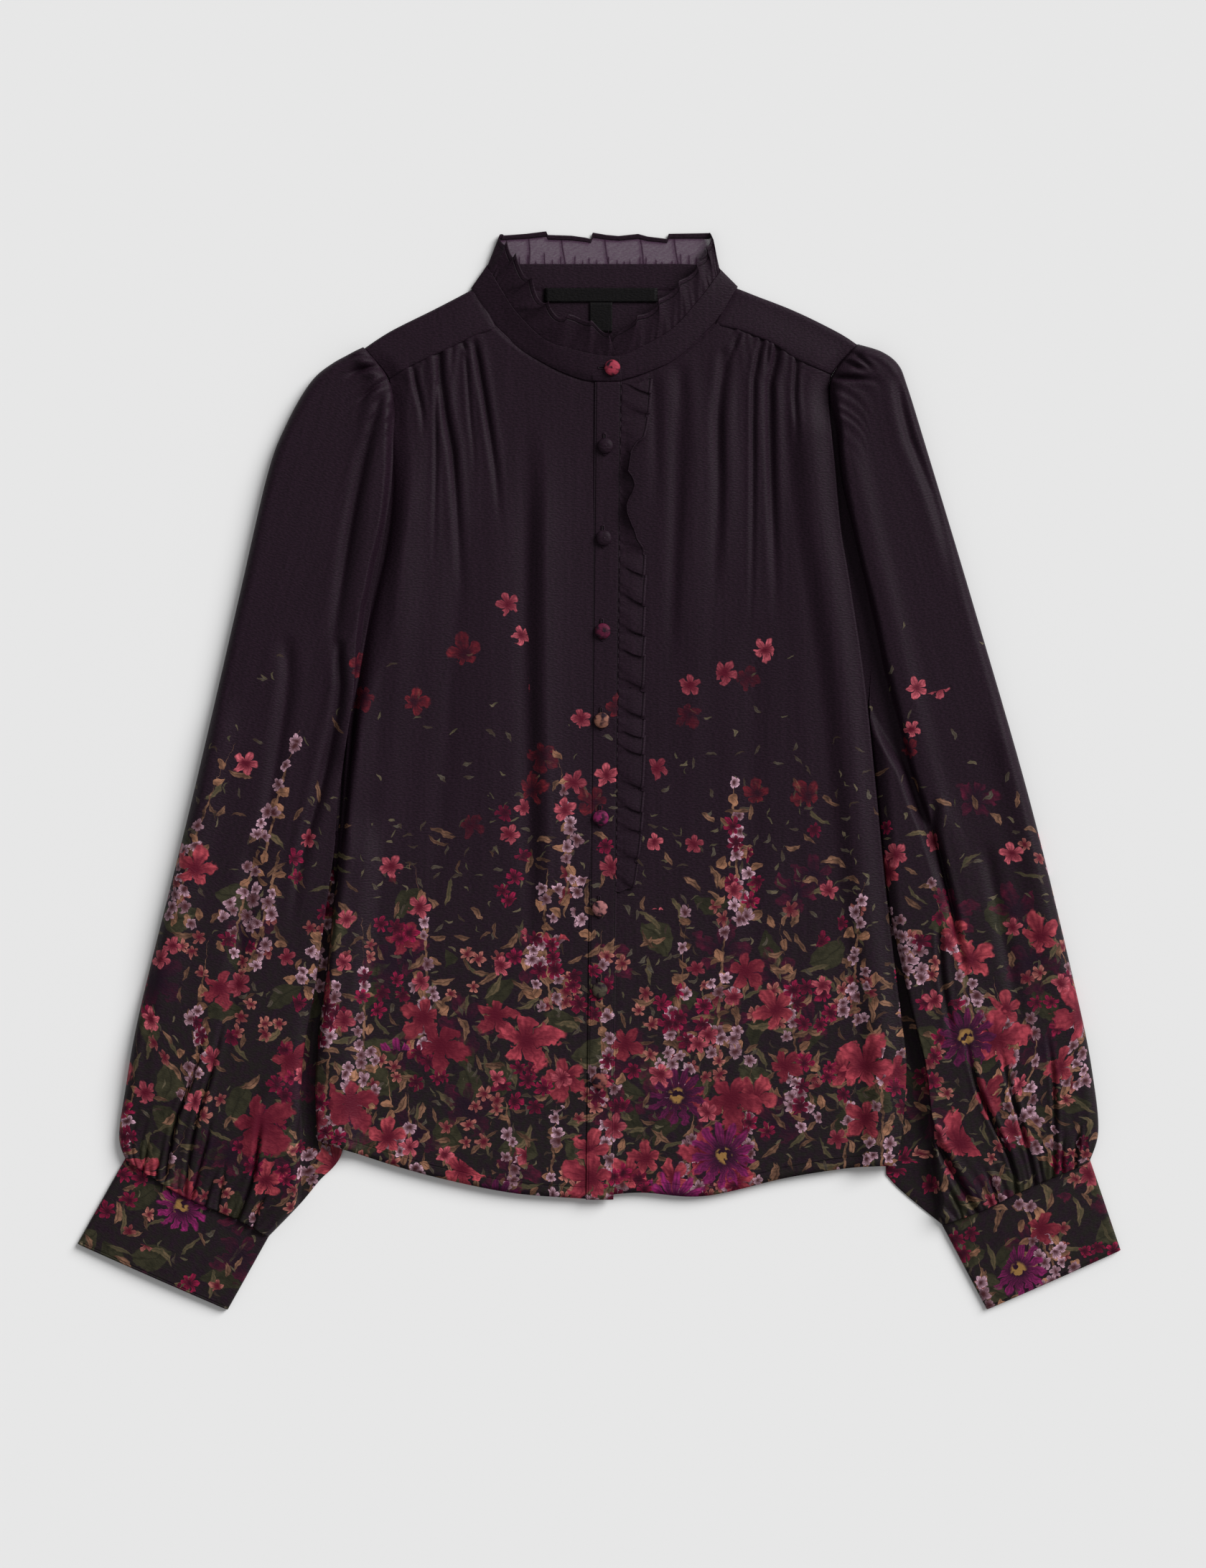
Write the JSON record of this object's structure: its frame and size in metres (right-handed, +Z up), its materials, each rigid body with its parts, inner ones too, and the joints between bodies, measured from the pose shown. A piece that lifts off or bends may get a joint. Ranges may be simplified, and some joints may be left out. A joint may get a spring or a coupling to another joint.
{
  "type": "blouse",
  "caption": "Long-sleeved woven blouse, laid flat: frilled stand collar, frill beside the button band, full sleeves gathered into deep cuffs.",
  "frame": {"origin": "on the surface the blouse lies on, under the middle of its bounding box", "axes": "+Y towards the collar, +X towards the wearer's left sleeve, +Z up from the surface to the front of the blouse"},
  "size_m": [0.756, 0.781, 0.0159],
  "materials": {
    "cloth": "fine woven crepe, soft sheen",
    "covered_button": "crepe over a metal shell",
    "label": "woven black tape"
  },
  "bodies": {
    "root": {"back": "cloth", "yoke": "cloth", "front_right": "cloth", "front_left": "cloth", "sleeve_right": "cloth", "sleeve_left": "cloth", "cuff_right": "cloth", "cuff_left": "cloth", "button_band": "cloth", "placket_frill": "cloth", "collar_stand": "cloth", "collar_frill": "cloth", "button_1": "covered_button", "button_2": "covered_button", "button_3": "covered_button", "button_4": "covered_button", "button_5": "covered_button", "button_6": "covered_button", "button_7": "covered_button", "button_8": "covered_button", "button_9": "covered_button", "neck_label": "label", "size_tab": "label"}
  },
  "joints": []
}
